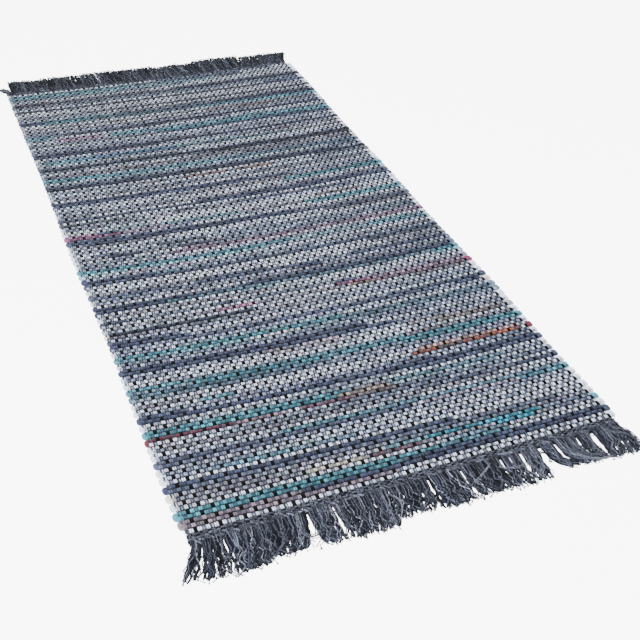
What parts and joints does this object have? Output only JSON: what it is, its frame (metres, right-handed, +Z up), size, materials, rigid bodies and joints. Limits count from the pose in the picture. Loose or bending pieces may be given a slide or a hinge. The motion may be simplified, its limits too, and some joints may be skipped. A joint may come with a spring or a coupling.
{
  "type": "flat-woven rag rug",
  "caption": "Flat-woven rag rug, pale with teal and navy rag stripes on a charcoal warp, with a knotted header and a loose yarn fringe at both ends.",
  "frame": {"origin": "on the floor, under the middle of the rug's outline with both fringes", "axes": "+X across the rug to its right edge, +Y along the rug to its back fringe, +Z up from the floor"},
  "size_m": [0.7596, 1.628, 0.006],
  "materials": {
    "woven_cloth": "matte",
    "fringe_yarn": "matte"
  },
  "bodies": {
    "root": {"woven_cloth": "woven_cloth", "fringe_front": "fringe_yarn", "fringe_back": "fringe_yarn"}
  },
  "joints": []
}
